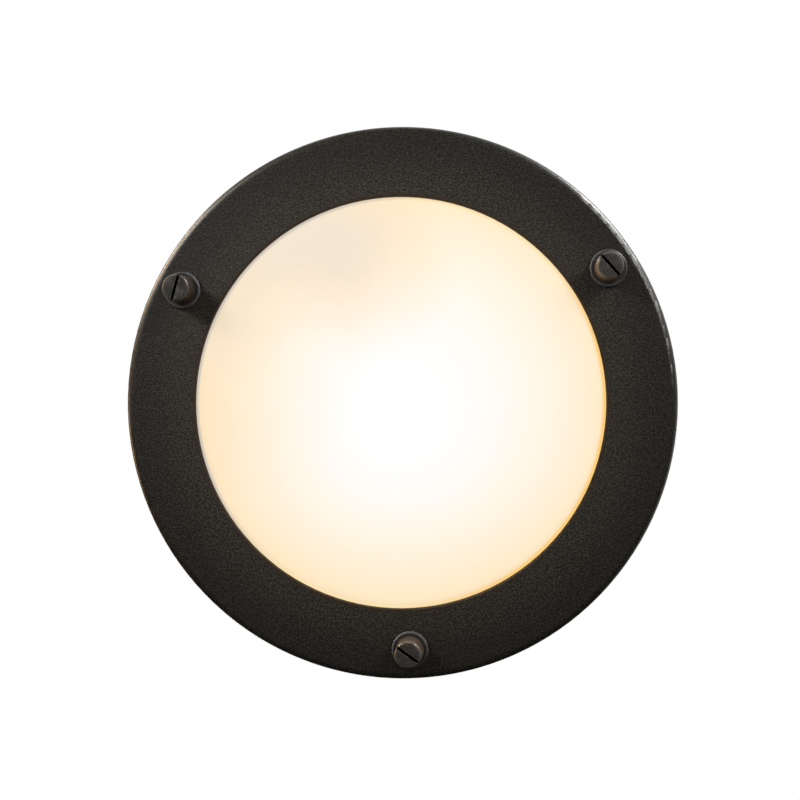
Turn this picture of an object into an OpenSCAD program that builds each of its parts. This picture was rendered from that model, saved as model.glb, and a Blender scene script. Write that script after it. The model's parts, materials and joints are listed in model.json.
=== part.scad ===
// Round surface ceiling light with a frosted glass under a ring that three slotted caps hold.
// The origin is the middle of the face that meets the ceiling, and the light hangs down along -Z.

/* [Overall] */
// Outside diameter of the cover ring
ring_d = 180; // [176:0.5:200]
// Ceiling to the front face of the cover ring
body_depth = 70; // [68:0.5:80]

/* [Cover ring] */
// Width of the ring's face, from its outside to the opening
ring_face_w = 23; // [21.5:0.5:27.5]
// Sheet thickness of the ring
ring_t = 1.5; // [1:0.1:1.9]
// Height of the skirt round the drum
ring_skirt_h = 12; // [8:0.5:16]
// Outside radius of the edge between face and skirt
ring_edge_r = 2; // [2:0.1:4]
// Rounding of the front edge of the opening
ring_lip_r = 0.6; // [0.3:0.1:0.9]
// Gap between the skirt and the drum of the housing
skirt_gap = 1.5; // [0.6:0.1:2]

/* [Housing] */
// Sheet thickness of the housing
housing_t = 1.2; // [0.8:0.1:1.6]
// Outside radius where the back turns into the drum
housing_corner_r = 4; // [3:0.5:6]
// Width of the step round the raised middle that lies on the ceiling
back_step_w = 12; // [11:0.5:14]
// Depth of the step that takes the foam seal
step_h = 2; // [1.5:0.1:3]
// Thickness of the stud ring's strip
stud_ring_t = 1.5; // [1.2:0.1:2]
// Height of the stud ring's leg on the drum
stud_ring_leg = 10; // [6:0.5:14]
// Depth of the dimples that take rivet heads and screw ends
dimple_h = 2; // [1.7:0.1:2.4]

/* [Ceiling fixing] */
// Distance between the middles of the two fixing slots
slot_spacing = 96; // [88:1:104]
// Length of a fixing slot, end to end
slot_len = 18; // [12:1:22]
// Width of a fixing slot
slot_wide = 5; // [4.5:0.1:6]

/* [Cable entry] */
// Place of the cable hole, to the right of the middle
cable_x = 28; // [24:1:30]
// Place of the cable hole, away from the lampholder
cable_y = 40; // [38:1:42]
// Bore of the grommet
cable_bore_d = 8; // [6:0.5:9]
// Hole in the housing that the grommet sits in
cable_hole_d = 16; // [15:0.5:17]
// Depth of the recess round the cable hole
cable_recess_h = 3; // [2.5:0.1:3.5]
// Length of the grommet's tapered nose
nose_len = 6; // [4:0.5:8]

/* [Glass] */
// Thickness of the glass
glass_t = 4; // [3:0.1:5]
// Overlap of the glass flange behind the ring
glass_lap = 8; // [6.5:0.1:8.5]
// Gap round the raised front of the glass
glass_gap = 0.7; // [0.4:0.1:1]
// Height of the raised front above the ring's face, at its edge
glass_proud = 0.8; // [0.3:0.1:1.5]
// Extra height of the raised front at its middle
glass_crown = 1.5; // [0.8:0.1:3]
// Rounding of the raised front's edge
glass_edge_r = 2; // [1:0.1:2.5]

/* [Gasket] */
// Thickness of the gasket's two lips
lip_t = 1.5; // [1:0.1:2]
// Width of the lips on the glass
lip_w = 3; // [2:0.1:4]
// Thickness of the gasket's web outside the glass
web_t = 1.6; // [1.2:0.1:2.5]

/* [Caps and studs] */
// Stud thread diameter
stud_d = 5; // [4:0.5:5]
// Stud length past the ring's face
stud_reach = 7.5; // [6:0.5:8]
// Diameter of a cap at its shoulder
cap_d = 9; // [8.6:0.1:10]
// Diameter of a cap at its front face
cap_front_d = 8.6; // [8:0.1:8.8]
// Height of a cap above its washer
cap_h = 10.3; // [9.8:0.1:14]
// Chamfer round a cap's front face
cap_chamfer = 0.4; // [0.2:0.1:0.8]
// Width of the screwdriver slot
driver_slot_w = 1; // [0.7:0.1:1.4]
// Depth of the screwdriver slot
driver_slot_h = 1.4; // [1:0.1:1.6]
// Washer diameter
washer_d = 12; // [11:0.5:13]
// Washer thickness
washer_t = 1.2; // [0.9:0.1:1.8]
// Bevel on the washer's edge
washer_bevel = 0.35; // [0.2:0.05:0.5]

/* [Lampholder] */
// Direction of the lampholder from the middle
holder_angle = 250; // [248:1:252]
// Ceiling to the lamp's axis
lamp_drop = 34; // [33:0.5:36]
// Gap between the lampholder's back and the drum
holder_back_gap = 14.8; // [13.8:0.2:16.8]
// Outside diameter of the lampholder
holder_d = 40; // [36:0.5:42]
// Length of the lampholder
holder_len = 42; // [40:0.5:46]
// Depth of the lampholder's socket
socket_depth = 25; // [24.6:0.1:26]
// Strip thickness of the bracket
bracket_t = 1.5; // [1.2:0.1:2]
// Width of the bracket
bracket_w = 28; // [26:0.5:32]

/* [Bulb] */
// Diameter of the bulb's globe
bulb_d = 45; // [40:0.5:46]
// Length of the bulb, tip to tip
bulb_len = 76; // [74:0.5:80]
// Diameter of the bulb's screw cap
bulb_cap_d = 26; // [25.5:0.1:26.2]

/* [Terminal block] */
// Direction of the terminal block from the middle
block_angle = 115; // [113:1:117]
// Middle of the light to the middle of the block
block_reach = 50; // [48:0.5:51]
// Distance between the two poles
pole_pitch = 13; // [12.6:0.1:14]
// Height of the block
block_h = 15; // [14:0.5:16]
// Length of the block along its wires
block_len = 18; // [17:0.5:19]

/* [Hidden] */
$fn = 96;
cut = 0.5; // how far a cut runs past the face that it opens

// Clearances
run_fit = 0.05; // radial, between a turning piece and what it turns on
loose_fit = 0.3; // radial, round a piece that is put in by hand
seat_fit = 0.1; // between a piece and the pocket that holds it

// Housing and cover ring
ring_r = ring_d / 2;
open_r = ring_r - ring_face_w;
drum_r = ring_r - ring_t - skirt_gap;
drum_inner_r = drum_r - housing_t;
pad_r = drum_r - back_step_w;
step_run = step_h;
rim_r = pad_r + step_run;
gasket_h = glass_t + 2 * lip_t;
face_z = -body_depth;
ring_back_z = face_z + ring_t;
mouth_z = ring_back_z + gasket_h;

// Glass and gasket
glass_r = open_r + glass_lap;
glass_front_r = open_r - glass_gap;
flange_front_z = ring_back_z + lip_t;
glass_edge_z = face_z - glass_proud;
gasket_r = glass_r + web_t;

// Studs, washers and caps
cap_angles = [90, 210, 330];
slot_angles = [38, 108, 51];
stud_collar = 0.5;
stud_collar_r = stud_d / 2 + stud_collar;
stud_collar_h = 0.8;
stud_gap = 0.7; // between a stud's collar and the gasket
stud_tip = 0.5;
cap_circle_r = gasket_r + stud_gap + stud_collar_r;
neck_wall = 0.7;
neck_past = 1.2; // how far a cap's neck reaches behind the ring
neck_r = stud_d / 2 + run_fit + neck_wall;
washer_z = face_z - washer_t;
cap_z = washer_z - cap_h;
stud_end_z = face_z - stud_reach;
bore_past = 1; // how far a cap's bore runs past the end of its stud
bore_end_z = stud_end_z - bore_past;

// Stud ring
stud_ring_r = drum_inner_r - seat_fit;
seat_lap = 1; // how far the seat reaches in past the gasket's lip
seat_r = glass_r - lip_w - seat_lap;
bend_in = 0.5; // inside radius of a bend in strip or sheet

// Cable entry
grommet_lip = 3;
grommet_lip_h = 2;
nose_wall = 1.2;
recess_gap = 1.5; // round the grommet's lip
recess_r = cable_hole_d / 2 + grommet_lip + recess_gap;

// Lampholder, measured along the lamp's axis from the middle of the light
holder_back = drum_inner_r - holder_back_gap;
holder_reach = holder_back - holder_len;
socket_end = holder_reach + socket_depth;
sleeve_gap = 0.3;
sleeve_wall = 0.6;
sleeve_r = bulb_cap_d / 2 + sleeve_gap + sleeve_wall;
sleeve_in = 1.5; // from the holder's mouth to the sleeve
sleeve_hole_r = 6;
socket_r = sleeve_r + seat_fit;
socket_floor = 4; // wall between the socket and the pockets of the lead screws
holder_r = holder_d / 2;
holder_edge = 1;
holder_step = 3; // from the holder's body in to its neck
holder_neck_r = holder_r - holder_step;
contact_h = 1.4; // height of the centre contact's tongue over the socket's floor
contact_t = 0.5;
contact_half_w = 3;
contact_tail = 10; // how far the centre contact's strip reaches to one side
contact_reach = 5; // how far its tongue reaches to the other side
contact_pad = 2; // length of the tongue's level end
contact_bend = 1; // from the middle to the foot of the tongue's slope
contact_lean = 0.2; // set-off of the slope's two sides, which keeps the strip's thickness
holder_screw_gap = 21;
holder_screw_r = 1.75;
holder_screw_in = 9; // depth of the holder screws' holes
holder_screw_free = 1; // left free at the end of a holder screw's hole
holder_head_r = 3.2;
holder_head_h = 2;
pocket_len = holder_len - socket_depth - socket_floor;
pocket_high = 8;
pocket_floor = 10;
lead_screw_r = 1.5;
lead_screw_in = 4; // depth of the lead screws' holes
lead_screw_inset = 3.8; // from the inner end of a pocket to its screw
lead_screw_at = holder_back - pocket_len + lead_screw_inset;
lead_screw_free = 0.8; // left free at the end of a lead screw's hole
lead_head_r = 2.6;
lead_head_h = 1.8;
lead_head_gap = 3.2; // from a pocket's floor to the seat of its screw's head

// Bracket, its rivets and its earth screw
dimple_r = 4.8; // at the ceiling face
dimple_draft = 0.4;
rivet_r = 2;
rivet_head_r = 3.6;
rivet_head_h = 1.2;
bracket_z = -(dimple_h + housing_t); // the bracket's foot lies on the dimples
bracket_past = 15; // how far the bracket reaches below the lamp's axis
bracket_corner = 6;
foot_len = 23;
rivet_inset = 13.5; // from the holder's back to the rivets
foot_rivet_at = holder_back - rivet_inset;
foot_rivet_y = 8;
earth_inset = 11; // from the holder's back to the earth screw
earth_at = holder_back - earth_inset;
earth_y = -27;
earth_tab_r = 6;
earth_screw_r = 2;
earth_collar = 1.2;
earth_collar_h = 1.6;
earth_screw_past = 0.8; // how far the earth screw's end stands out of the bracket
earth_head_r = 3.6;
earth_head_h = 2.4;
saddle_half = 4.5;
saddle_t = 1;
saddle_lip = 0.8;
saddle_z = bracket_z - bracket_t - earth_collar_h;

// Bulb, along the lamp's axis
bulb_tip = socket_end - contact_h - seat_fit;
globe_r = bulb_d / 2;
globe_at = bulb_tip - bulb_len + globe_r;
globe_share = 0.67; // share of the globe's radius, along the axis, where the neck leaves it
bulb_neck_step = 0.5; // from the screw cap out to the glass
bulb_neck_past = 1.5; // how far the glass stands out of the holder
tip_r = 4.8;
tip_h = 1.2;
cap_cone_r = 6;
cap_cone_h = 4;

// Screws
screw_edge = 0.5;
driver_w = 0.8; // slot in a screw's head

// Terminal block
pole_margin = 6; // from a pole to the block's side
block_w = pole_pitch + 2 * pole_margin;
clamp_w = 5;
clamp_h = 6;
clamp_len = 14;
clamp_mid = 7; // ceiling side of the block to the middle of the wires
wire_way = 3;
clamp_screw_x = 4;
clamp_screw_r = 1.5;
clamp_head_r = 1.9;
clamp_head_h = 1.8;
clamp_head_gap = 0.6; // from a clamp to the seats of its screws' heads
clamp_head_room = 0.2; // round a clamp screw's head
way_room = 0.6; // by which the block's wire ways are wider than the clamps'
groove_deep = 1.5; // depth of the grooves between the poles, at the block's two sides
groove_wall = 1.5; // from a groove to the clamps beside it
block_screw_r = 1.5;
block_screw_short = 0.5; // from the block screw's end to the ceiling
block_head_r = 2.9;
block_head_h = 2;
block_seat = 8; // ceiling side of the block to the seat of its screw's head

// Leads: each way round the drum has points of gap from its wall, direction, and share of the way down
// from the block's wires to the lamp's axis
lead_d = 2.2;
lead_sides = 8;
lead_steps = 3; // rings for each stretch of a route
lead_in = 3; // middle of the block to a lead's end in it
lead_out = 1; // from the block's side to the first bend
live_way = [
    [15.6, 123, 0], [12.2, 133, 0], [10.6, 151, 0], [11.6, 175, 0], [11.1, 200, 0.02], [10.2, 217.5, 0.23],
    [9.9, 230, 0.65]
];
neutral_way = [
    [13.2, 112.7, 0], [7.3, 124, 0], [6.2, 147, 0], [6.3, 173.5, 0], [6, 202, 0], [5.9, 225.5, 0],
    [5.3, 245, 0.04], [7.9, 261, 0.42]
];
// The ways end at the lampholder, with points past its screw along the lamp's axis, and across it
live_end = [[4.5, -18.5], [4, -15], [3.6, -12.2]];
neutral_end = [[4.8, 20], [4.1, 15.5], [3.6, 12.2]];

// A quarter of a ring of sheet in the first quadrant, for a bend
module bend(inner, outer) {
    intersection() {
        difference() {
            circle(outer);
            if (inner > 0) circle(inner);
        }
        square(outer);
    }
}

// Turns a profile of radius and length into a solid round the lamp's axis, length outwards
module on_lamp_axis() {
    rotate([0, 0, holder_angle]) translate([0, 0, -lamp_drop]) rotate([0, 90, 0]) children();
}

// Frame of the lampholder's foot: X along the lamp's axis, Y across it, Z up
module on_foot() {
    rotate([0, 0, holder_angle]) children();
}

module at_cap(i) {
    rotate([0, 0, cap_angles[i - 1]]) translate([cap_circle_r, 0, 0]) children();
}

module on_block() {
    rotate([0, 0, block_angle]) translate([block_reach, 0, -housing_t]) children();
}

// Housing

module drum_profile() {
    translate([0, -housing_t]) square([pad_r, housing_t]);
    polygon([[pad_r, 0], [rim_r, -step_h], [rim_r, -step_h - housing_t], [pad_r, -housing_t]]);
    translate([rim_r, -step_h - housing_t])
        square([drum_r - housing_corner_r - rim_r, housing_t]);
    translate([drum_r - housing_corner_r, -step_h - housing_corner_r])
        bend(housing_corner_r - housing_t, housing_corner_r);
    translate([drum_inner_r, mouth_z])
        square([housing_t, -mouth_z - step_h - housing_corner_r]);
}

// Sheet round a pressed dimple
module dimple(r, depth) {
    translate([0, 0, -depth - housing_t])
        cylinder(r1 = r - dimple_draft + housing_t, r2 = r + housing_t, h = depth + housing_t);
}

// Hollow of a pressed dimple, open to the ceiling, with the hole in its floor
module dimple_cut(r, depth, hole_r) {
    translate([0, 0, -depth]) cylinder(r1 = r - dimple_draft, r2 = r, h = depth);
    cylinder(r = r, h = cut);
    translate([0, 0, -depth - housing_t - cut]) cylinder(r = hole_r, h = housing_t + 2 * cut);
}

module fixing_slot() {
    translate([0, 0, -housing_t - cut]) linear_extrude(housing_t + 2 * cut) union() {
        square([slot_len - slot_wide, slot_wide], center = true);
        for (side = [-1, 1]) translate([side * (slot_len - slot_wide) / 2, 0]) circle(d = slot_wide);
    }
}

module at_rivet(side) {
    on_foot() translate([foot_rivet_at, side * foot_rivet_y, 0]) children();
}

module at_block_screw() {
    rotate([0, 0, block_angle]) translate([block_reach, 0, 0]) children();
}

module housing() {
    color("dimgray") difference() {
        union() {
            rotate_extrude() drum_profile();
            for (side = [-1, 1]) at_rivet(side) dimple(dimple_r, dimple_h);
            at_block_screw() dimple(dimple_r, dimple_h);
            translate([cable_x, cable_y, 0]) dimple(recess_r, cable_recess_h);
        }
        for (side = [-1, 1]) at_rivet(side) dimple_cut(dimple_r, dimple_h, rivet_r);
        at_block_screw() dimple_cut(dimple_r, dimple_h, block_screw_r);
        translate([cable_x, cable_y, 0]) dimple_cut(recess_r, cable_recess_h, cable_hole_d / 2);
        for (side = [-1, 1]) translate([side * slot_spacing / 2, 0, 0]) fixing_slot();
    }
}

module stud_ring() {
    bend_r = bend_in + stud_ring_t;
    color("silver") rotate_extrude() {
        translate([seat_r, mouth_z]) square([stud_ring_r - bend_r - seat_r, stud_ring_t]);
        translate([stud_ring_r - bend_r, mouth_z + bend_r]) mirror([0, 1]) bend(bend_in, bend_r);
        translate([stud_ring_r - stud_ring_t, mouth_z + bend_r])
            square([stud_ring_t, stud_ring_leg - bend_r]);
    }
}

module stud(i) {
    color("silver") at_cap(i) {
        translate([0, 0, mouth_z - stud_collar_h]) cylinder(r = stud_collar_r, h = stud_collar_h);
        translate([0, 0, stud_end_z + stud_tip]) cylinder(d = stud_d, h = mouth_z - stud_end_z - stud_tip);
        translate([0, 0, stud_end_z]) cylinder(d1 = stud_d - 2 * stud_tip, d2 = stud_d, h = stud_tip);
    }
}

module ceiling_seal() {
    color("gray") rotate_extrude() translate([rim_r + loose_fit, -step_h])
        square([drum_r - housing_corner_r - rim_r - loose_fit, step_h]);
}

module cable_grommet() {
    bore_r = cable_bore_d / 2;
    hole_r = cable_hole_d / 2;
    lip_r = hole_r + grommet_lip;
    front = grommet_lip_h - cable_recess_h;
    back = -cable_recess_h - housing_t;
    color("black") translate([cable_x, cable_y, 0]) rotate_extrude() polygon([
        [bore_r, front], [lip_r, front], [lip_r, -cable_recess_h], [hole_r - run_fit, -cable_recess_h],
        [hole_r - run_fit, back], [lip_r, back], [lip_r, back - grommet_lip_h],
        [hole_r, back - grommet_lip_h], [bore_r + nose_wall, back - grommet_lip_h - nose_len],
        [bore_r, back - grommet_lip_h - nose_len]
    ]);
}

// Cover

module ring_profile() {
    translate([open_r + ring_lip_r, face_z])
        square([ring_r - ring_edge_r - open_r - ring_lip_r, ring_t]);
    translate([open_r + ring_lip_r, face_z + ring_lip_r]) rotate(180) bend(0, ring_lip_r);
    translate([open_r, face_z + ring_lip_r]) square([ring_lip_r, ring_t - ring_lip_r]);
    translate([ring_r - ring_edge_r, face_z + ring_edge_r])
        mirror([0, 1]) bend(ring_edge_r - ring_t, ring_edge_r);
    translate([ring_r - ring_t, face_z + ring_edge_r]) square([ring_t, ring_skirt_h - ring_edge_r]);
}

module cover_ring() {
    color([0.14, 0.13, 0.12]) difference() {
        rotate_extrude() ring_profile();
        for (i = [1 : 3]) at_cap(i) translate([0, 0, face_z - cut])
            cylinder(r = neck_r + loose_fit, h = ring_t + 2 * cut);
    }
}

// Front half of the glass profile: a step into the opening with a rounded edge and a crowned face
module glass_front() {
    flat_r = glass_front_r - glass_edge_r;
    steps = 10;
    rise = flange_front_z - glass_edge_z;
    translate([0, glass_edge_z]) square([flat_r, rise]);
    translate([flat_r, glass_edge_z + glass_edge_r]) square([glass_edge_r, rise - glass_edge_r]);
    translate([flat_r, glass_edge_z + glass_edge_r]) mirror([0, 1]) bend(0, glass_edge_r);
    polygon(concat([[0, glass_edge_z]], [
        for (k = [0 : steps]) let (t = k / steps)
            [flat_r * t, glass_edge_z - glass_crown * (1 - t * t)]
    ]));
}

module glass() {
    hollow_r = glass_front_r - glass_t;
    hollow_z = glass_edge_z + glass_t;
    corner = 2;
    color([1, 0.95, 0.86, 0.8]) rotate_extrude() difference() {
        union() {
            translate([0, flange_front_z]) square([glass_r, glass_t]);
            glass_front();
        }
        translate([0, hollow_z]) square([hollow_r - corner, -hollow_z]);
        translate([0, hollow_z + corner]) square([hollow_r, -hollow_z]);
        translate([hollow_r - corner, hollow_z + corner]) mirror([0, 1]) bend(0, corner);
    }
}

module glass_gasket() {
    color([0.2, 0.2, 0.2]) rotate_extrude() difference() {
        translate([glass_r - lip_w, ring_back_z]) square([lip_w + web_t, gasket_h]);
        translate([glass_r - lip_w - cut, flange_front_z])
            square([lip_w + cut + seat_fit, glass_t]);
    }
}

module cap_washer(i) {
    washer_r = washer_d / 2;
    color([0.2, 0.2, 0.19]) at_cap(i) difference() {
        union() {
            translate([0, 0, washer_z])
                cylinder(r1 = washer_r - washer_bevel, r2 = washer_r, h = washer_bevel);
            translate([0, 0, washer_z + washer_bevel]) cylinder(r = washer_r, h = washer_t - washer_bevel);
        }
        translate([0, 0, washer_z - cut]) cylinder(r = neck_r + run_fit, h = washer_t + 2 * cut);
    }
}

module cap(i) {
    front_r = cap_front_d / 2;
    neck_end = ring_back_z + neck_past;
    color([0.12, 0.12, 0.11]) at_cap(i) difference() {
        union() {
            translate([0, 0, cap_z]) cylinder(r1 = front_r - cap_chamfer, r2 = front_r, h = cap_chamfer);
            translate([0, 0, cap_z + cap_chamfer])
                cylinder(r1 = front_r, r2 = cap_d / 2, h = cap_h - cap_chamfer);
            translate([0, 0, washer_z]) cylinder(r = neck_r, h = neck_end - washer_z);
        }
        translate([0, 0, bore_end_z])
            cylinder(r = stud_d / 2 + run_fit, h = neck_end - bore_end_z + cut);
        rotate([0, 0, slot_angles[i - 1] - cap_angles[i - 1]])
            translate([-cap_d, -driver_slot_w / 2, cap_z - cut])
            cube([2 * cap_d, driver_slot_w, driver_slot_h + cut]);
    }
}

// Lampholder bracket and its fasteners

module bracket_upright() {
    high = lamp_drop + bracket_past + bracket_z - bend_in - bracket_t;
    half = bracket_w / 2;
    inner = half - bracket_corner;
    translate([holder_back, 0, -lamp_drop - bracket_past]) rotate([90, 0, 90]) linear_extrude(bracket_t) {
        translate([-half, bracket_corner]) square([bracket_w, high - bracket_corner]);
        translate([-inner, 0]) square([2 * inner, bracket_corner]);
        for (side = [-1, 1]) translate([side * inner, bracket_corner]) circle(bracket_corner);
    }
}

module bracket_foot() {
    bend_r = bend_in + bracket_t;
    outer = holder_back + bracket_t;
    translate([0, 0, bracket_z - bracket_t]) linear_extrude(bracket_t) {
        translate([outer - foot_len, -bracket_w / 2]) square([foot_len - bend_r, bracket_w]);
        translate([earth_at - earth_tab_r, earth_y]) square([2 * earth_tab_r, -earth_y]);
        translate([earth_at, earth_y]) circle(earth_tab_r);
    }
    translate([outer - bend_r, 0, bracket_z - bend_r]) rotate([90, 0, 0])
        linear_extrude(bracket_w, center = true) bend(bend_in, bend_r);
}

module holder_bracket() {
    color("silver") on_foot() difference() {
        union() {
            bracket_upright();
            bracket_foot();
            translate([earth_at, earth_y, saddle_z])
                cylinder(r = earth_screw_r + earth_collar, h = earth_collar_h);
        }
        for (side = [-1, 1]) {
            translate([foot_rivet_at, side * foot_rivet_y, bracket_z - bracket_t - cut])
                cylinder(r = rivet_r, h = bracket_t + 2 * cut);
            translate([holder_back - cut, 0, -lamp_drop + side * holder_screw_gap / 2])
                rotate([0, 90, 0]) cylinder(r = holder_screw_r + loose_fit, h = bracket_t + 2 * cut);
        }
        translate([earth_at, earth_y, saddle_z - cut])
            cylinder(r = earth_screw_r + run_fit, h = bracket_t + earth_collar_h + 2 * cut);
    }
}

module bracket_rivet(i) {
    side = 2 * i - 3;
    top_r = rivet_head_r - rivet_head_h; // the heads' slope is 45 degrees
    color("silver") at_rivet(side) {
        translate([0, 0, -dimple_h]) cylinder(r1 = rivet_head_r, r2 = top_r, h = rivet_head_h);
        translate([0, 0, bracket_z - bracket_t]) cylinder(r = rivet_r - run_fit, h = housing_t + bracket_t);
        translate([0, 0, bracket_z - bracket_t - rivet_head_h])
            cylinder(r1 = top_r, r2 = rivet_head_r, h = rivet_head_h);
    }
}

// A pan head screw with a driver slot, its head's seat at Z = 0 and its shank up +Z
module pan_screw(r, length, head_r, head_h) {
    edge = screw_edge;
    difference() {
        union() {
            cylinder(r = r, h = length);
            translate([0, 0, -head_h]) cylinder(r1 = head_r - edge, r2 = head_r, h = edge);
            translate([0, 0, edge - head_h]) cylinder(r = head_r, h = head_h - edge);
        }
        translate([-head_r - cut, -driver_w / 2, -head_h - cut])
            cube([2 * (head_r + cut), driver_w, head_h / 2 + cut]);
    }
}

module earth_saddle() {
    half = saddle_half;
    color("gold") on_foot() translate([earth_at, earth_y, saddle_z]) difference() {
        union() {
            translate([-half, -half, -saddle_t]) cube([2 * half, 2 * half, saddle_t]);
            for (side = [0, 1]) mirror([side, 0, 0])
                translate([half - saddle_t, -half, 0]) cube([saddle_t, 2 * half, saddle_lip]);
        }
        translate([0, 0, -saddle_t - cut]) cylinder(r = earth_screw_r + seat_fit, h = saddle_t + 2 * cut);
    }
}

module earth_screw() {
    color("gold") on_foot() translate([earth_at, earth_y, saddle_z - saddle_t])
        pan_screw(
            earth_screw_r, saddle_t + earth_collar_h + bracket_t + earth_screw_past, earth_head_r,
            earth_head_h
        );
}

module holder_screw(i) {
    side = 2 * i - 3;
    color("silver") on_lamp_axis()
        translate([side * holder_screw_gap / 2, 0, holder_back + bracket_t]) mirror([0, 0, 1])
        pan_screw(
            holder_screw_r, bracket_t + holder_screw_in - holder_screw_free, holder_head_r, holder_head_h
        );
}

// Lampholder

module holder_body() {
    edge = holder_edge;
    waist = socket_end + socket_floor;
    color("white") on_lamp_axis() difference() {
        rotate_extrude() polygon([
            [socket_r, holder_reach], [holder_r - edge, holder_reach], [holder_r, holder_reach + edge],
            [holder_r, waist], [holder_neck_r, waist + holder_step], [holder_neck_r, holder_back],
            [0, holder_back], [0, socket_end], [socket_r, socket_end]
        ]);
        for (side = [0, 1]) mirror([0, side, 0]) {
            translate([-pocket_high / 2, pocket_floor, holder_back - pocket_len])
                cube([pocket_high, holder_r, pocket_len + cut]);
            translate([0, pocket_floor - lead_screw_in, lead_screw_at]) rotate([-90, 0, 0])
                cylinder(r = lead_screw_r + run_fit, h = lead_screw_in + cut);
        }
        for (side = [-1, 1]) translate([side * holder_screw_gap / 2, 0, holder_back - holder_screw_in])
            cylinder(r = holder_screw_r + run_fit, h = holder_screw_in + cut);
    }
}

module thread_sleeve() {
    inner_r = sleeve_r - sleeve_wall;
    start = holder_reach + sleeve_in;
    end = socket_end - contact_t - loose_fit; // clear of the centre contact's strip
    color("silver") on_lamp_axis() rotate_extrude() {
        translate([inner_r, start]) square([sleeve_wall, end - start]);
        translate([sleeve_hole_r, end - sleeve_wall]) square([inner_r - sleeve_hole_r, sleeve_wall]);
    }
}

module centre_contact() {
    half = contact_half_w;
    strip = contact_t;
    high = contact_h - strip;
    pad = contact_reach - contact_pad;
    lean = contact_lean;
    color("gold") on_lamp_axis() translate([-half, 0, socket_end]) rotate([90, 0, 90])
        linear_extrude(2 * half) polygon([
            [-contact_tail, 0], [-contact_tail, -strip], [-contact_bend - lean, -strip], [pad, -contact_h],
            [contact_reach, -contact_h], [contact_reach, -high], [pad + lean, -high], [-contact_bend, 0]
        ]);
}

module lead_screw(i) {
    side = i - 1;
    color("gold") on_lamp_axis() mirror([0, side, 0])
        translate([0, pocket_floor + lead_head_gap, lead_screw_at]) rotate([90, 0, 0])
        pan_screw(lead_screw_r, lead_head_gap + lead_screw_in - lead_screw_free, lead_head_r, lead_head_h);
}

// Bulb

function hermite(t, a, b, da, db) =
    a * (2 * t * t * t - 3 * t * t + 1) + b * (3 * t * t - 2 * t * t * t)
    + da * (t * t * t - 2 * t * t + t) + db * (t * t * t - t * t);

module bulb() {
    neck_at = globe_at + globe_r * globe_share;
    neck_start_r = sqrt(globe_r * globe_r - (neck_at - globe_at) * (neck_at - globe_at));
    neck_end = holder_reach - bulb_neck_past;
    cap_r = bulb_cap_d / 2;
    neck_end_r = cap_r + bulb_neck_step;
    neck_len = neck_end - neck_at;
    slope = -(neck_at - globe_at) / neck_start_r;
    steps = 8;
    color([1, 0.93, 0.8]) on_lamp_axis() rotate_extrude() {
        intersection() {
            translate([0, globe_at]) circle(globe_r);
            translate([0, globe_at - globe_r]) square([globe_r, neck_at - globe_at + globe_r]);
        }
        polygon(concat(
            [[0, neck_at]],
            [for (k = [0 : steps]) let (t = k / steps)
                [hermite(t, neck_start_r, neck_end_r, slope * neck_len, 0), neck_at + t * neck_len]],
            [[cap_r, neck_end], [cap_r, bulb_tip - cap_cone_h], [cap_cone_r, bulb_tip - tip_h],
             [tip_r, bulb_tip - tip_h], [tip_r, bulb_tip], [0, bulb_tip]]
        ));
    }
}

// Terminal block

module at_pole(side) {
    translate([0, side * pole_pitch / 2, -clamp_mid]) children();
}

module terminal_block() {
    way = wire_way + way_room;
    color("ivory") on_block() difference() {
        translate([-block_len / 2, -block_w / 2, -block_h]) cube([block_len, block_w, block_h]);
        for (side = [-1, 1]) {
            at_pole(side) {
                cube([block_len + 2 * cut, way, way], center = true);
                cube(
                    [clamp_len + 2 * seat_fit, clamp_w + 2 * seat_fit, clamp_h + 2 * seat_fit],
                    center = true
                );
                for (end = [-1, 1]) translate([end * clamp_screw_x, 0, -block_h])
                    cylinder(r = clamp_head_r + clamp_head_room, h = block_h - clamp_h / 2);
            }
            translate([side * block_len / 2, 0, -block_h / 2])
                cube(
                    [2 * groove_deep, pole_pitch - clamp_w - 2 * groove_wall, block_h + 2 * cut],
                    center = true
                );
        }
        translate([0, 0, -dimple_h]) cylinder(r = dimple_r + housing_t + loose_fit, h = dimple_h + cut);
        translate([0, 0, -block_h]) cylinder(r = block_screw_r + seat_fit, h = block_h);
        translate([0, 0, -block_h - cut])
            cylinder(r = block_head_r + seat_fit, h = block_h - block_seat + cut);
    }
}

module block_screw() {
    color("silver") on_block() translate([0, 0, -block_seat])
        pan_screw(
            block_screw_r - run_fit, block_seat + housing_t - block_screw_short, block_head_r, block_head_h
        );
}

module terminal_clamp(i) {
    side = 2 * i - 3;
    color("gold") on_block() at_pole(side) difference() {
        cube([clamp_len, clamp_w, clamp_h], center = true);
        cube([clamp_len + 2 * cut, wire_way, wire_way], center = true);
        for (end = [-1, 1]) translate([end * clamp_screw_x, 0, -clamp_h / 2 - cut])
            cylinder(r = clamp_screw_r + run_fit, h = clamp_h / 2 + cut);
    }
}

// Screws 1 and 2 are on the first pole, 3 and 4 on the second, and the even ones hold the leads
module clamp_screw(i) {
    side = i <= 2 ? -1 : 1;
    end = i % 2 == 0 ? 1 : -1;
    tip_z = end > 0 ? -lead_d / 2 - seat_fit : -wire_way / 2;
    seat_z = -clamp_h / 2 - clamp_head_gap;
    color("gold") on_block() at_pole(side) translate([end * clamp_screw_x, 0, seat_z])
        pan_screw(clamp_screw_r, tip_z - seat_z, clamp_head_r, clamp_head_h);
}

// Inner leads

// Point so far from the middle of the block along a pole's wires
function by_block(out, across) = [
    (block_reach + out) * cos(block_angle) - across * sin(block_angle),
    (block_reach + out) * sin(block_angle) + across * cos(block_angle),
    -housing_t - clamp_mid
];

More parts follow.
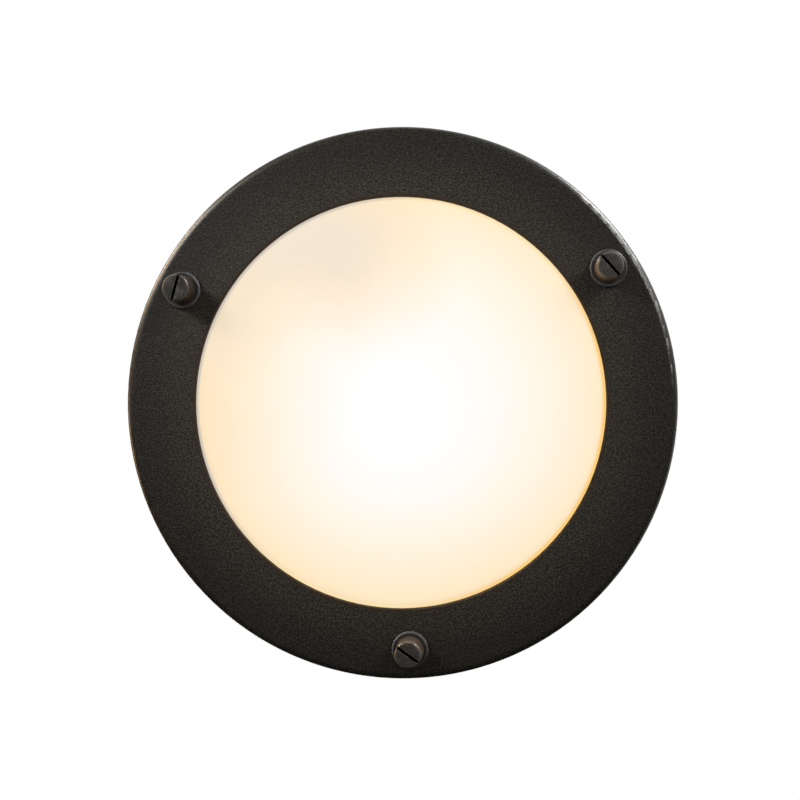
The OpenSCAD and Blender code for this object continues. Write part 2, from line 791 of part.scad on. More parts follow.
// Point inside the drum, from a point of a way round it
function by_wall(p) = [
    (drum_inner_r - p[0]) * cos(p[1]),
    (drum_inner_r - p[0]) * sin(p[1]),
    -housing_t - clamp_mid - p[2] * (lamp_drop - housing_t - clamp_mid)
];

// Point level with the lamp's axis, so far past a lead screw and across the axis
function by_holder(p) = [
    (lead_screw_at + p[0]) * cos(holder_angle) - p[1] * sin(holder_angle),
    (lead_screw_at + p[0]) * sin(holder_angle) + p[1] * cos(holder_angle),
    -lamp_drop
];

function lead_route(side, way, end) = concat(
    [for (out = [lead_in, block_len / 2 + lead_out]) by_block(out, side * pole_pitch / 2)],
    [for (p = way) by_wall(p)],
    [for (p = end) by_holder(p)]
);

function spline_point(p, i, t) =
    let (
        a = p[max(i - 1, 0)],
        b = p[i],
        c = p[i + 1],
        d = p[min(i + 2, len(p) - 1)]
    )
    (2 * b + (c - a) * t + (2 * a - 5 * b + 4 * c - d) * t * t + (3 * b - a - 3 * c + d) * t * t * t) / 2;

function route_points(p) = concat(
    [for (i = [0 : len(p) - 2]) for (k = [0 : lead_steps - 1]) spline_point(p, i, k / lead_steps)],
    [p[len(p) - 1]]
);

function unit(v) = v / norm(v);

module lead(route) {
    path = route_points(route);
    last = len(path) - 1;
    rings = [
        for (i = [0 : last])
            let (
                along = unit(path[min(i + 1, last)] - path[max(i - 1, 0)]),
                across = unit(cross(along, [0, 0, 1])),
                up = cross(across, along)
            )
            for (k = [0 : lead_sides - 1])
                path[i] + lead_d / 2 * (cos(k * 360 / lead_sides) * across + sin(k * 360 / lead_sides) * up)
    ];
    sides = [
        for (i = [0 : last - 1]) for (k = [0 : lead_sides - 1])
            let (a = i * lead_sides + k, b = i * lead_sides + (k + 1) % lead_sides)
            [a, a + lead_sides, b + lead_sides, b]
    ];
    ends = [
        [for (k = [0 : lead_sides - 1]) k],
        [for (k = [lead_sides - 1 : -1 : 0]) last * lead_sides + k]
    ];
    polyhedron(points = rings, faces = concat(sides, ends), convexity = 6);
}

module live_lead() {
    color("saddlebrown") lead(lead_route(1, live_way, live_end));
}

module neutral_lead() {
    color("steelblue") lead(lead_route(-1, neutral_way, neutral_end));
}

housing();
stud_ring();
for (i = [1 : 3]) {
    stud(i);
    cap_washer(i);
    cap(i);
}
ceiling_seal();
cable_grommet();
cover_ring();
glass();
glass_gasket();
holder_bracket();
earth_screw();
earth_saddle();
holder_body();
thread_sleeve();
centre_contact();
bulb();
terminal_block();
block_screw();
for (i = [1 : 2]) {
    bracket_rivet(i);
    holder_screw(i);
    lead_screw(i);
    terminal_clamp(i);
}
for (i = [1 : 4]) clamp_screw(i);
live_lead();
neutral_lead();
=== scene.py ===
import json
import math

import bpy
from mathutils import Matrix, Vector


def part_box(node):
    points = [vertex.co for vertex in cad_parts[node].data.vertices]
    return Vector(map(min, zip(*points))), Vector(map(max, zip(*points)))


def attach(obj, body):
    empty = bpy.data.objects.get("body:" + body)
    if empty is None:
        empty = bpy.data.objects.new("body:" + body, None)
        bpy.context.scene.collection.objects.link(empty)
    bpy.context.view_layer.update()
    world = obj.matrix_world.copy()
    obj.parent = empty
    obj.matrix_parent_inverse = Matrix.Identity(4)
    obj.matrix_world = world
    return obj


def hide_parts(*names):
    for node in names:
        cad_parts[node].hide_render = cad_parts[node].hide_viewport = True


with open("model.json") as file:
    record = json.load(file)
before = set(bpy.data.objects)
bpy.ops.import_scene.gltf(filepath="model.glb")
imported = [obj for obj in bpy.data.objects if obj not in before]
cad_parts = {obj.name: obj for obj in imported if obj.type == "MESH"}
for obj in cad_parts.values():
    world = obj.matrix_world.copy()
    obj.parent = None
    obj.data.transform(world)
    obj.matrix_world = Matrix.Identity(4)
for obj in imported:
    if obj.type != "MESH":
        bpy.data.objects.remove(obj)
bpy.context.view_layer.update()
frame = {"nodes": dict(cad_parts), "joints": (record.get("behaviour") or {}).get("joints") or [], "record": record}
nodes = frame["nodes"]
joints = {joint["name"]: joint for joint in frame["joints"]}
mm = 0.001


# A socket's value: signs between two of these, or with a number, add Math nodes
class Flow:
    def __init__(self, graph, socket):
        self.graph = graph
        self.socket = socket

    def __add__(self, other):
        return self.graph.maths("ADD", self, other)

    def __sub__(self, other):
        return self.graph.maths("SUBTRACT", self, other)

    def __rsub__(self, other):
        return self.graph.maths("SUBTRACT", other, self)

    def __mul__(self, other):
        return self.graph.maths("MULTIPLY", self, other)

    def __truediv__(self, other):
        return self.graph.maths("DIVIDE", self, other)

    def __rtruediv__(self, other):
        return self.graph.maths("DIVIDE", other, self)

    def __neg__(self):
        return self.graph.maths("MULTIPLY", self, -1)

    def __abs__(self):
        return self.graph.maths("ABSOLUTE", self, 0)

    __radd__ = __add__
    __rmul__ = __mul__


# A node tree that is built with short calls, for shaders and geometry alike
class Graph:
    def __init__(self, tree):
        self.tree = tree
        tree.nodes.clear()

    # Adds a node: its settings first, then the values or links of its sockets, by name or number
    def add(self, kind, settings=None, values=None, out=0):
        node = self.tree.nodes.new(kind)
        for name, value in (settings or {}).items():
            if name == "stops":
                self.setStops(node.color_ramp, value)
            else:
                setattr(node, name, value)
        for name, value in (values or {}).items():
            if isinstance(value, Flow):
                self.tree.links.new(value.socket, node.inputs[name])
            else:
                node.inputs[name].default_value = value
        return Flow(self, node.outputs[out]) if len(node.outputs) else node

    def setStops(self, ramp, stops):
        while len(ramp.elements) < len(stops):
            ramp.elements.new(1.0)
        for element, (place, colour) in zip(ramp.elements, stops):
            element.position = place
            element.color = (*colour, 1)

    def output(self, flow, name):
        return Flow(self, flow.socket.node.outputs[name])

    def maths(self, operation, a, b=0.0, c=0.0):
        return self.add("ShaderNodeMath", {"operation": operation}, {0: a, 1: b, 2: c})

    def length(self, x, y):
        return self.maths("SQRT", x * x + y * y)

    # 0 up to low and 1 from high, smooth between; the other way round where low is the larger
    def step(self, value, low, high):
        if low > high:
            return 1 - self.step(value, high, low)
        settings = {"interpolation_type": "SMOOTHSTEP"}
        values = {"Value": value, "From Min": low, "From Max": high}
        return self.add("ShaderNodeMapRange", settings, values)

    def coords(self, place=(0, 0, 0), turn=0.0, stretch=(1, 1, 1)):
        objectCoords = self.output(self.add("ShaderNodeTexCoord"), "Object")
        moved = self.add("ShaderNodeVectorMath", {"operation": "SUBTRACT"}, {0: objectCoords, 1: place})
        values = {"Vector": moved, "Rotation": (0, 0, turn), "Scale": stretch}
        return self.add("ShaderNodeMapping", None, values)

    def axes(self, coords):
        split = self.add("ShaderNodeSeparateXYZ", None, {0: coords})
        return [self.output(split, name) for name in "XYZ"]

    # Noise whose grains are about that size in metres, from 0 to 1
    def noise(self, coords, size, detail=2.0, rough=0.5):
        values = {"Vector": coords, "Scale": 1 / size, "Detail": detail, "Roughness": rough}
        return self.add("ShaderNodeTexNoise", {"noise_dimensions": "3D"}, values)

    def cells(self, coords, size, feature="F1"):
        values = {"Vector": coords, "Scale": 1 / size}
        return self.output(self.add("ShaderNodeTexVoronoi", {"feature": feature}, values), "Distance")

    def mix(self, share, a, b):
        settings = {"data_type": "RGBA", "clamp_factor": True}
        values = {0: share}
        for socket, colour in ((6, a), (7, b)):
            values[socket] = colour if isinstance(colour, Flow) else (*colour, 1)
        return self.add("ShaderNodeMix", settings, values, out=2)

    def multiplied(self, share, a, b):
        settings = {"data_type": "RGBA", "blend_type": "MULTIPLY", "clamp_factor": True}
        return self.add("ShaderNodeMix", settings, {0: share, 6: a, 7: (*b, 1)}, out=2)

    def scaled(self, colour, factor):
        return self.add("ShaderNodeVectorMath", {"operation": "SCALE"}, {0: colour, "Scale": factor})

    def ramp(self, value, stops):
        return self.add("ShaderNodeValToRGB", {"stops": stops}, {0: value})

    # A normal that rounds off sharp edges by that radius
    def softEdge(self, radius):
        return self.add("ShaderNodeBevel", {"samples": 6}, {"Radius": radius})

    # 1 on sharp edges and 0 on faces: where a finish wears through, and where the washers' painted highlight lies
    def edges(self, radius, low, high):
        face = self.output(self.add("ShaderNodeNewGeometry"), "Normal")
        normals = {0: self.softEdge(radius), 1: face}
        turn = self.add("ShaderNodeVectorMath", {"operation": "DOT_PRODUCT"}, normals)
        return self.step(1 - self.output(turn, "Value"), low, high)

    def bump(self, height, depth, strength=1.0, edge=0.15 * mm, normal=None):
        values = {"Height": height, "Distance": depth, "Strength": strength}
        values["Normal"] = normal or self.softEdge(edge)
        return self.add("ShaderNodeBump", None, values)


# A material with a Principled shader; the finish function fills in what varies and what doesn't
def makeFinish(name, finish, *places):
    material = bpy.data.materials.new(name)
    material.use_nodes = True
    graph = Graph(material.node_tree)
    shader = graph.add("ShaderNodeBsdfPrincipled", None, finish(graph, *places))
    graph.add("ShaderNodeOutputMaterial", None, {"Surface": shader})
    return material


# A colour made darker or lighter
def shaded(colour, share):
    return tuple(share * value for value in colour)


# A value about its middle, which a noise moves up and down
def about(noise, middle, spread):
    return middle + spread * (noise - 0.5)


print("finishes")

# In the finishes a mask is a pair: where it is 0 and where it is full

# Powder coat of the ring and the housing
powderCoat = {
    "colour": (0.0180, 0.0160, 0.0118),
    # The grain's tone follows its bump: painted shade in the hollows and a painted highlight on the grains
    "hollowShadeTone": 0.42,
    "grainHighlightTone": 2.0,
    "grain": 0.62 * mm,
    "grainMask": (0.38, 0.64),
    "grainDepth": 0.12 * mm,
    "softening": 0.12 * mm,
    "peel": 5.58 * mm,
    "peelShare": 0.5,
    "clouds": 30 * mm,
    "flecks": 0.62 * mm,
    "fleckMask": (0.24, 0.10),
    "fleckGrainMask": (0.42, 0.62),
    "fleckColour": (0.13, 0.12, 0.10),
    "fleckShare": 0.7,
    # Painted light: the coat is lighter near the opening, as if lit by the glass's glow, and darker farther out
    "nearGlassLightTone": 1.20,
    "farFromGlassTone": 0.62,
    "glassLightMask": (19 * mm, 1 * mm),  # out from the ring's opening
    # Painted shade: the skirt and the housing's side are darker than the face
    "sideShadeTone": 0.5,
    "sideMask": (2.5 * mm, 4 * mm),  # behind the ring's face
    "roundedMask": (2.6 * mm, 1.2 * mm),  # in from the ring's outside
    "roundedCalm": 0.92,
    # Painted light: the warm glow of the glass on the lip of the opening
    "glassGlowOnLip": (0.030, 0.018, 0.009),
    "lipMask": (1.6 * mm, 0.4 * mm),  # out from the ring's opening
    "lipDepth": 3 * mm,
    "rubbed": (0.06, 0.056, 0.05),
    "rubbedShare": 0.6,
    "rubbedRadius": 0.25 * mm,
    "rubbedMask": (0.03, 0.2),
    "rubbedCloudMask": (0.42, 0.6),
    "roughness": (0.50, 0.08),  # middle and spread
    "grainRoughness": 0.2,
    "sideRoughness": 0.2,
    "roundedGloss": 0.12,
    "specular": 0.38,
}


def powderCoatFinish(g, lipRadius, edgeRadius, faceHeight):
    coat = powderCoat
    at = g.coords()
    x, y, z = g.axes(at)
    fromMiddle = g.length(x, y)
    fromLip = fromMiddle - lipRadius
    fromOutside = edgeRadius - fromMiddle
    behindFace = z - faceHeight
    grain = g.noise(at, coat["grain"], detail=3, rough=0.65)
    peel = g.noise(at, coat["peel"])
    clouds = g.noise(at, coat["clouds"], detail=3)
    side = g.step(behindFace, *coat["sideMask"])
    rounded = g.step(fromOutside, *coat["roundedMask"]) * (1 - side)

    # Painted shade in the hollows of the grain and a painted highlight on its tops
    dark = shaded(coat["colour"], coat["hollowShadeTone"])
    light = shaded(coat["colour"], coat["grainHighlightTone"])
    colour = g.mix(g.step(grain, *coat["grainMask"]), dark, light)
    fleck = g.step(g.cells(at, coat["flecks"]), *coat["fleckMask"]) * g.step(grain, *coat["fleckGrainMask"])
    colour = g.mix(fleck * coat["fleckShare"] * (1 - rounded), colour, coat["fleckColour"])
    # Painted light of the glass's glow, strongest near the opening
    inner = g.step(fromLip, *coat["glassLightMask"])
    tone = coat["farFromGlassTone"] + (coat["nearGlassLightTone"] - coat["farFromGlassTone"]) * inner
    # With painted shade on the side behind the face
    colour = g.scaled(colour, tone * (1 - (1 - coat["sideShadeTone"]) * side))
    # Painted warm glow of the glass on the lip
    lip = g.step(fromLip, *coat["lipMask"]) * g.step(behindFace, coat["lipDepth"], 0)
    colour = g.mix(lip, colour, coat["glassGlowOnLip"])
    rubbed = g.edges(coat["rubbedRadius"], *coat["rubbedMask"]) * g.step(clouds, *coat["rubbedCloudMask"])
    colour = g.mix(rubbed * coat["rubbedShare"], colour, coat["rubbed"])

    roughness = about(clouds, *coat["roughness"]) + coat["grainRoughness"] * (grain - 0.5) * (1 - rounded)
    relief = (grain + coat["peelShare"] * peel) * (1 - coat["roundedCalm"] * rounded)
    return {
        "Base Color": colour,
        "Roughness": roughness + coat["sideRoughness"] * side - coat["roundedGloss"] * rounded,
        "Specular IOR Level": coat["specular"],
        "Normal": g.bump(relief, coat["grainDepth"], edge=coat["softening"]),
    }


# Blackened brass of the caps: turned sides, a faced front and edges rubbed by the screwdriver
capBlack = {
    "colour": (0.016, 0.015, 0.0135),
    "light": (0.040, 0.038, 0.035),
    "grain": 0.35 * mm,
    "grainMask": (0.36, 0.64),
    "faceLightTones": (1.25, 0.75, 1.2),  # painted light: each cap is lit a little differently, on its face and in the glow on its flanks
    # Painted reflection: the glass's warm glow painted onto the flanks that face it, weaker on the outward side
    "glassGlowReflection": (0.19, 0.14, 0.10),
    "glassGlowTones": (1.05, 0.5, 1.75),
    "glassGlowShare": 0.85,
    "glassGlowOnShoulder": 0.15,
    "outwardMask": (-1.5 * mm, 1.0 * mm),  # out from the circle of the caps
    "outwardGlassGlow": 0.15,
    "outwardRubbed": 0.3,
    "outwardRoughness": 0.35,
    "frontMask": (0.5 * mm, 0.1 * mm),  # behind the front
    "rubbed": (0.17, 0.155, 0.135),
    "rimMask": (0.6 * mm, 0.3 * mm),  # in from the front's edge
    "rimShare": 0.55,
    "slotRim": (0.22 * mm, 0.1 * mm),  # rubbed band outside and inside the slot's edge
    "slotRimShare": 0.8,
    "smudge": 1.3 * mm,
    "smudgeMask": (0.38, 0.6),
    # Painted shade: near black and fully metallic deep in the slot
    "slot": (0.0015, 0.0014, 0.0012),
    "slotMask": (0.06 * mm, 0.02 * mm),  # out from the slot's edge
    "slotEndMask": (2.2 * mm, 1.8 * mm),  # behind the front
    "slotMouthMask": (0.4 * mm, 0.7 * mm),  # in from the front's edge
    "besideSlotMask": (0.3 * mm, 0.9 * mm),  # out from the slot's edge
    "shoulder": 1.3 * mm,
    "shoulderEnd": 0.4 * mm,
    "sharpEdge": 0.12 * mm,
    "turning": 0.16 * mm,
    "grainShare": 3,
    "turningDepth": 0.012 * mm,
    "turningStrength": 0.6,
    "metallic": (0.65, 0.75),  # where rubbed and where the glass's glow is painted
    "roughness": (0.38, 0.18),  # middle and spread
    "rubbedGloss": 0.06,
}


def capFinish(g, place, turn, frontRadius, frontHeight, slotHalf, faceLightTone, glassGlowTone):
    cap = capBlack
    at = g.coords(place, -turn)
    x, y, z = g.axes(at)
    radius = g.length(x, y)
    fromEdge = frontRadius - radius
    fromSlot = abs(y) - slotHalf
    behindFront = z - frontHeight
    lightX, lightY, _ = g.axes(g.coords())
    outward = g.step(g.length(lightX, lightY) - place.xy.length, *cap["outwardMask"])
    front = g.step(behindFront, *cap["frontMask"])
    smudge = g.noise(at, cap["smudge"], detail=3, rough=0.6)
    grain = g.noise(at, cap["grain"], detail=3, rough=0.6)

    besideSlot = g.step(fromSlot, *cap["besideSlotMask"])
    shoulder = g.step(fromEdge, cap["shoulder"], cap["shoulderEnd"]) * besideSlot
    rim = cap["rimShare"] * g.step(fromEdge, *cap["rimMask"]) * (1 - (1 - cap["outwardRubbed"]) * outward)
    rimOut, rimIn = cap["slotRim"]
    slotRim = cap["slotRimShare"] * g.step(fromSlot, rimOut, 0) * g.step(fromSlot, -rimIn, 0)
    rubbed = front * g.maths("MAXIMUM", rim, slotRim) * g.step(smudge, *cap["smudgeMask"])
    inSlot = g.step(fromSlot, *cap["slotMask"])
    slotEnd = inSlot * g.step(behindFront, *cap["slotEndMask"])
    # Painted shade deep in the slot, behind the front
    slotShade = (1 - front) * inSlot * g.step(fromEdge, *cap["slotMouthMask"])
    # Painted reflection of the glass's warm glow on the flanks, a little on the shoulder, little on the outward
    # side
    glowReflected = g.maths("MAXIMUM", 1 - front, cap["glassGlowOnShoulder"] * shoulder)
    glowReflected = glowReflected * (1 - slotEnd) * (1 - (1 - cap["outwardGlassGlow"]) * outward)

    light = shaded(cap["light"], faceLightTone)
    glassGlowReflection = shaded(cap["glassGlowReflection"], glassGlowTone)
    colour = g.mix(g.step(grain, *cap["grainMask"]), cap["colour"], light)
    colour = g.mix(glowReflected * cap["glassGlowShare"], colour, glassGlowReflection)
    colour = g.mix(rubbed, colour, cap["rubbed"])
    rubbedMetal, glowMetal = cap["metallic"]
    metal = g.maths("MAXIMUM", rubbedMetal * rubbed, glowMetal * glowReflected)
    roughness = about(smudge, *cap["roughness"]) + cap["outwardRoughness"] * outward * shoulder
    perMark = math.tau / cap["turning"]
    side = g.maths("SINE", z * perMark) * (1 - front)
    faced = g.maths("SINE", radius * perMark) * front
    marks = side + faced + cap["grainShare"] * grain
    softened = {0: besideSlot, 4: g.softEdge(cap["sharpEdge"]), 5: g.softEdge(cap["shoulder"])}
    normal = g.add("ShaderNodeMix", {"data_type": "VECTOR"}, softened, out=1)
    return {
        "Base Color": g.mix(slotShade, colour, cap["slot"]),
        "Metallic": g.maths("MAXIMUM", metal, slotShade),
        "Roughness": roughness - cap["rubbedGloss"] * rubbed,
        "Normal": g.bump(marks, cap["turningDepth"], cap["turningStrength"], normal=normal),
    }


# Nylon washers, gasket and grommet rubber, and the foam seal
nylon = {
    "colour": (0.020, 0.0185, 0.0185),
    "speckColour": (0.03, 0.03, 0.031),
    "speckShare": 0.4,
    "speck": 0.5 * mm,
    # Painted highlight of the glass's glow on the washers' edges
    "edgeHighlight": (0.28, 0.28, 0.30),
    "edgeRadius": 0.45 * mm,
    "edgeMask": (0.005, 0.08),
    "edgeHighlightShares": (0.85, 0.20),  # painted highlight, towards the glass's glow and away from it
    "outwardWidth": 3 * mm,
    "roughness": (0.52, 0.12),  # middle and spread
    "specular": 0.35,
    "relief": 0.02 * mm,
}
rubber = {
    "colour": (0.032, 0.032, 0.033),
    "bloom": (0.075, 0.074, 0.072),
    "bloomSize": 6 * mm,
    "bloomMask": (0.45, 0.75),
    "skin": 0.25 * mm,
    "roughness": (0.66, 0.16),  # middle and spread
    "relief": 0.02 * mm,
}
foam = {
    "colour": (0.085, 0.086, 0.090),
    # Painted shade: darker in the low grooves between the cells
    "cellShadeTone": 0.35,
    "cell": 0.55 * mm,
    "cellWall": 0.12,
    "drift": 4 * mm,
    "driftTone": (0.95, 0.5),  # middle and spread
    "roughness": (0.86, 0.1),  # middle and spread
    "relief": 0.12 * mm,
}


def nylonFinish(g, capCircle):
    at = g.coords()
    x, y, _ = g.axes(at)
    outward = g.step(g.length(x, y), capCircle, capCircle + nylon["outwardWidth"])
    speck = g.noise(at, nylon["speck"])
    # Painted highlight on the edges, stronger on the side towards the glass
    edge = g.edges(nylon["edgeRadius"], *nylon["edgeMask"])
    inShare, outShare = nylon["edgeHighlightShares"]
    colour = g.mix(speck * nylon["speckShare"], nylon["colour"], nylon["speckColour"])
    return {
        "Base Color": g.mix(edge * (inShare - (inShare - outShare) * outward), colour, nylon["edgeHighlight"]),
        "Roughness": about(speck, *nylon["roughness"]),
        "Specular IOR Level": nylon["specular"],
        "Normal": g.bump(speck, nylon["relief"]),
    }


def rubberFinish(g):
    at = g.coords()
    bloom = g.noise(at, rubber["bloomSize"], detail=4, rough=0.6)
    skin = g.noise(at, rubber["skin"])
    return {
        "Base Color": g.mix(g.step(bloom, *rubber["bloomMask"]), rubber["colour"], rubber["bloom"]),
        "Roughness": about(bloom, *rubber["roughness"]),
        "Normal": g.bump(skin, rubber["relief"]),
    }


def foamFinish(g):
    at = g.coords()
    drift = g.noise(at, foam["drift"], detail=3)
    pores = g.step(g.cells(at, foam["cell"], "DISTANCE_TO_EDGE"), 0, foam["cellWall"])
    # Painted shade in the grooves between the cells, where the bump is low
    share = foam["cellShadeTone"] + (1 - foam["cellShadeTone"]) * pores * about(drift, *foam["driftTone"])
    return {
        "Base Color": g.mix(share, shaded(foam["colour"], foam["cellShadeTone"]), foam["colour"]),
        "Roughness": about(drift, *foam["roughness"]),
        "Normal": g.bump(pores, foam["relief"]),
    }


# Zinc plate, nickel, brass and solder: a tone that drifts, drawn or turned marks and tarnish
metals = {
    "zinc": {
        "colour": (0.58, 0.60, 0.63),
        "tint": (0.62, 0.60, 0.50),
        "roughness": 0.34,
        "grain": 0.5 * mm,
    },
    "nickel": {
        "colour": (0.66, 0.63, 0.58),
        "tint": (0.56, 0.51, 0.43),
        "roughness": 0.22,
        "grain": 0.9 * mm,
    },
    "brass": {
        "colour": (0.74, 0.55, 0.25),
        "tint": (0.50, 0.33, 0.13),
        "roughness": 0.27,
        "grain": 0.6 * mm,
    },
    "solder": {
        "colour": (0.60, 0.60, 0.61),
        "tint": (0.42, 0.42, 0.43),
        "roughness": 0.38,
        "grain": 0.8 * mm,
    },
}
metalWear = {
    "drift": 7 * mm,
    "driftMask": (0.35, 0.72),
    "marks": 1.2 * mm,
    "marksTurn": 0.3,
    "marksStretch": (1, 1, 14),
    "dullTone": 0.6,
    "dullShare": 0.35,
    "metallic": (0.97, 0.06),  # middle and spread
    "grainRoughness": 0.16,
    "driftRoughness": 0.14,
    "grainRelief": 0.5,
    "relief": 0.012 * mm,
    "reliefStrength": 0.7,
}


def metalFinish(g, metal):
    wear = metalWear
    at = g.coords()
    drift = g.noise(at, wear["drift"], detail=4, rough=0.6)
    grain = g.noise(at, metal["grain"], detail=3, rough=0.6)
    drawn = g.coords(turn=wear["marksTurn"], stretch=wear["marksStretch"])
    marks = g.noise(drawn, wear["marks"], detail=3, rough=0.6)
    tone = g.mix(g.step(drift, *wear["driftMask"]), metal["colour"], metal["tint"])
    driftRoughness = wear["driftRoughness"] * (drift - 0.5)
    return {
        "Base Color": g.mix(wear["dullShare"] * grain, tone, shaded(metal["colour"], wear["dullTone"])),
        "Metallic": about(grain, *wear["metallic"]),
        "Roughness": about(grain, metal["roughness"], wear["grainRoughness"]) + driftRoughness,
        "Normal": g.bump(marks + wear["grainRelief"] * grain, wear["relief"], wear["reliefStrength"]),
    }


# Glazed porcelain of the lampholder and moulded nylon of the terminal block
porcelain = {
    "colour": (0.84, 0.82, 0.76),
    "warmTone": 0.93,
    "wave": 5 * mm,
    "waveMask": (0.3, 0.7),
    "waveDepth": 0.10 * mm,
    "speckColour": (0.33, 0.24, 0.16),
    "specks": 2.6 * mm,
    "speckMask": (0.075, 0.03),
    "speckShare": 0.6,
    "roughness": (0.14, 0.1),  # middle and spread
    "glaze": 0.35,
    "glazeRoughness": 0.06,
}
blockNylon = {
    "colour": (0.76, 0.73, 0.65),
    "shade": (0.64, 0.60, 0.50),
    "flow": 6 * mm,
    "flowMask": (0.35, 0.75),
    "spark": 0.22 * mm,
    "sparkDepth": 0.02 * mm,
    "roughness": (0.43, 0.15),  # middle and spread
}


def porcelainFinish(g):
    at = g.coords()
    wave = g.noise(at, porcelain["wave"])
    speck = g.step(g.cells(at, porcelain["specks"]), *porcelain["speckMask"])
    warm = shaded(porcelain["colour"], porcelain["warmTone"])
    colour = g.mix(g.step(wave, *porcelain["waveMask"]), porcelain["colour"], warm)
    return {
        "Base Color": g.mix(speck * porcelain["speckShare"], colour, porcelain["speckColour"]),
        "Roughness": about(wave, *porcelain["roughness"]),
        "Coat Weight": porcelain["glaze"],
        "Coat Roughness": porcelain["glazeRoughness"],
        "Normal": g.bump(wave, porcelain["waveDepth"]),
    }


def blockFinish(g):
    at = g.coords()
    flow = g.noise(at, blockNylon["flow"], detail=3, rough=0.6)
    spark = g.noise(at, blockNylon["spark"])
    flowShare = g.step(flow, *blockNylon["flowMask"])
    return {
        "Base Color": g.mix(flowShare, blockNylon["colour"], blockNylon["shade"]),
        "Roughness": about(spark, *blockNylon["roughness"]),
        "Normal": g.bump(spark, blockNylon["sparkDepth"]),
    }


# Silicone sleeves of the two leads
sleeves = {
    "brown": (0.16, 0.066, 0.026),
    "blue": (0.035, 0.115, 0.36),
    "rub": 3 * mm,
    "rubMask": (0.5, 0.8),
    "rubShare": 0.6,
    "rubTone": 0.7,
    "rubDust": 0.06,
    "skin": 0.3 * mm,
    "skinDepth": 0.02 * mm,
    "roughness": (0.46, 0.2),  # middle and spread
}


def sleeveFinish(g, colour):
    at = g.coords()
    rub = g.noise(at, sleeves["rub"], detail=4, rough=0.6)
    skin = g.noise(at, sleeves["skin"])
    dusty = tuple(sleeves["rubTone"] * value + sleeves["rubDust"] for value in colour)
    return {
        "Base Color": g.mix(g.step(rub, *sleeves["rubMask"]) * sleeves["rubShare"], colour, dusty),
        "Roughness": about(rub, *sleeves["roughness"]),
        "Normal": g.bump(skin, sleeves["skinDepth"]),
    }


# Frosted glass, lit from behind: a bright middle, the holder's shadow and a warm edge
frostedGlass = {
    "colour": (0.10, 0.096, 0.088),
    "frost": 0.28 * mm,
    "frostDepth": 0.01 * mm,
    "roughness": (0.42, 0.12),  # middle and spread
    "roundedMask": (3 * mm, 1 * mm),  # in from the rounded edge of the front
    "roundedColour": (0.02, 0.02, 0.02),
    "roundedShare": 0.45,
    "roundedRoughness": 0.5,
    "flangeMask": (1.0 * mm, 1.4 * mm),  # out from that edge
    "flangeColour": (0.30, 0.33, 0.31),
    "flangeShare": 0.6,
    "flangeGlow": (0.10, 0.075, 0.045),
}
glow = {
    "reach": 70 * mm,
    "stops": [
        (0.10, (1.0, 1.0, 1.0)),
        (0.29, (0.93, 0.905, 0.89)),
        (0.43, (0.925, 0.885, 0.85)),
        (0.57, (0.93, 0.865, 0.775)),
        (0.71, (0.93, 0.83, 0.69)),
        (0.83, (0.93, 0.79, 0.61)),
        (0.92, (0.925, 0.76, 0.53)),
    ],
    "brightAt": (-0.6 * mm, 3.0 * mm),  # x and y
    "brightMask": (10.5 * mm, 3 * mm),
    "brightGain": 9.0,
    "brightReachMask": (50 * mm, 20 * mm),  # inside it the stops run from the bright place, not the middle
    "farTint": (0.995, 0.925, 0.83),
    "farLeft": -60 * mm,
    "farLow": 45 * mm,
    "farLowShare": 0.7,
    "lowTint": (1.0, 0.985, 0.94),
    "lowMask": (25 * mm, 62 * mm),
    "haloTint": (1.0, 0.92, 0.82),
    "haloSpot": (45 * mm, 9, 36 * mm, 10 * mm),  # as the spots below, without a share
    "shadowTone": (0.79, 0.685, 0.545),
    "shadowWarp": 14 * mm,
    "warpSize": 17 * mm,
    "spots": [  # reach along the holder's side, degrees round from it, where it is 0 and where full, share
        (56 * mm, 0, 30 * mm, 3 * mm, 1.0),
        (60 * mm, -25, 26 * mm, 0, 0.55),
        (65 * mm, -47, 23 * mm, 0, 0.4),
    ],
    "rimShade": 0.2,
    "rimShadeMask": (52 * mm, 64 * mm),
    "rimShadeSideMask": (-0.55, -0.9),
    "glowEdgeMask": (1.2 * mm, -0.1 * mm),  # in from the rounded edge
    "edgeSide": (0.906, 0.423),  # the way that the warm side of the edge faces
    "edgePale": (0.94, 0.74, 0.43),
    "edgeWarm": (0.95, 0.60, 0.20),
    "edgeWarmMask": (0.35, 0.9),
    "edgeGrey": (0.62, 0.55, 0.46),
    "edgeGreyMask": (-0.1, -0.8),
}


# A soft round spot, at a reach from the middle and turned round it from the lampholder's side
def glowSpot(g, x, y, warp, lampAxis, reach, turn, low, full):
    place = (reach * lampAxis).to_2d()
    place.rotate(Matrix.Rotation(math.radians(turn), 2))
    return g.step(g.length(x - place.x, y - place.y) + glow["shadowWarp"] * (warp - 0.5), low, full)


